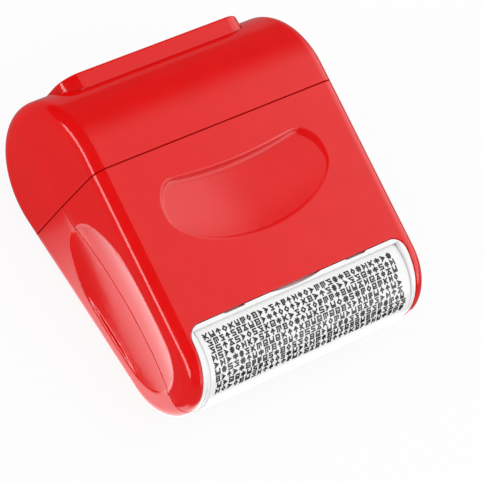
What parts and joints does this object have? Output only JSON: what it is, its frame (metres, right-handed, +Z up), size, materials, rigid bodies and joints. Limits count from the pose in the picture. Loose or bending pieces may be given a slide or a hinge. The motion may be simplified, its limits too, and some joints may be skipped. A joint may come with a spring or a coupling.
{
  "type": "privacy roller stamp",
  "caption": "Roller stamp that inks over addresses: a domed casing with thumb scoops, a lift-off cover and a slide-out cassette with a patterned drum and an ink roller.",
  "frame": {"origin": "middle of the stamp's footprint on the desk, with the stamp lying on its back", "axes": "+X along the roller to the right as seen from the front, +Y from the roller end to the domed end, +Z up out of the front"},
  "size_m": [0.063, 0.0702, 0.032],
  "materials": {
    "red_plastic": "gloss moulded",
    "white_plastic": "satin moulded",
    "stamp_rubber": "smooth white rubber with a raised black pattern",
    "ink_felt": "ink-soaked felt",
    "axle_steel": "ground",
    "screw_zinc": "zinc plated",
    "plug_rubber": "matt moulded"
  },
  "bodies": {
    "casing": {"front_shell": "red_plastic", "rear_shell": "red_plastic", "shell_screws": "screw_zinc", "ink_deck": "white_plastic"},
    "cover": {"top_cover": "red_plastic", "foot_pad": "red_plastic"},
    "left_plug": {"left_fill_plug": "plug_rubber"},
    "right_plug": {"right_fill_plug": "plug_rubber"},
    "cassette": {"cassette_left_plate": "white_plastic", "cassette_right_plate": "white_plastic", "cassette_front_lip": "white_plastic", "cassette_rear_lip": "white_plastic", "ink_housing": "white_plastic", "cassette_screws": "screw_zinc", "drum_axle": "axle_steel", "ink_axle": "axle_steel"},
    "drum": {"stamp_sleeve": "stamp_rubber", "drum_core": "white_plastic", "drum_left_cap": "white_plastic", "drum_right_cap": "white_plastic"},
    "ink_roller": {"ink_core": "white_plastic", "ink_felt": "ink_felt"}
  },
  "joints": [
    {"name": "cover_lift", "type": "slide", "parent": "casing", "child": "cover", "axis": [0, 0.9941, 0.1082], "range_m": [0, 0.015]},
    {"name": "left_plug_pull", "type": "slide", "parent": "casing", "child": "left_plug", "axis": [0, 0.9941, 0.1082], "range_m": [0, 0.006]},
    {"name": "right_plug_pull", "type": "slide", "parent": "casing", "child": "right_plug", "axis": [0, 0.9941, 0.1082], "range_m": [0, 0.006]},
    {"name": "cassette_slide", "type": "slide", "parent": "casing", "child": "cassette", "axis": [0, -0.9941, -0.1082], "range_m": [0, 0.024]},
    {"name": "drum_spin", "type": "hinge", "parent": "cassette", "child": "drum", "pos_m": [0, -0.0245, 0.01137], "axis": [1, 0, 0], "continuous": true},
    {"name": "ink_spin", "type": "hinge", "parent": "cassette", "child": "ink_roller", "pos_m": [0, -0.0089, 0.01307], "axis": [1, 0, 0], "continuous": true}
  ],
  "couplings": [
    {"joint": "ink_spin", "follows": "drum_spin", "ratio": -2.1192}
  ]
}
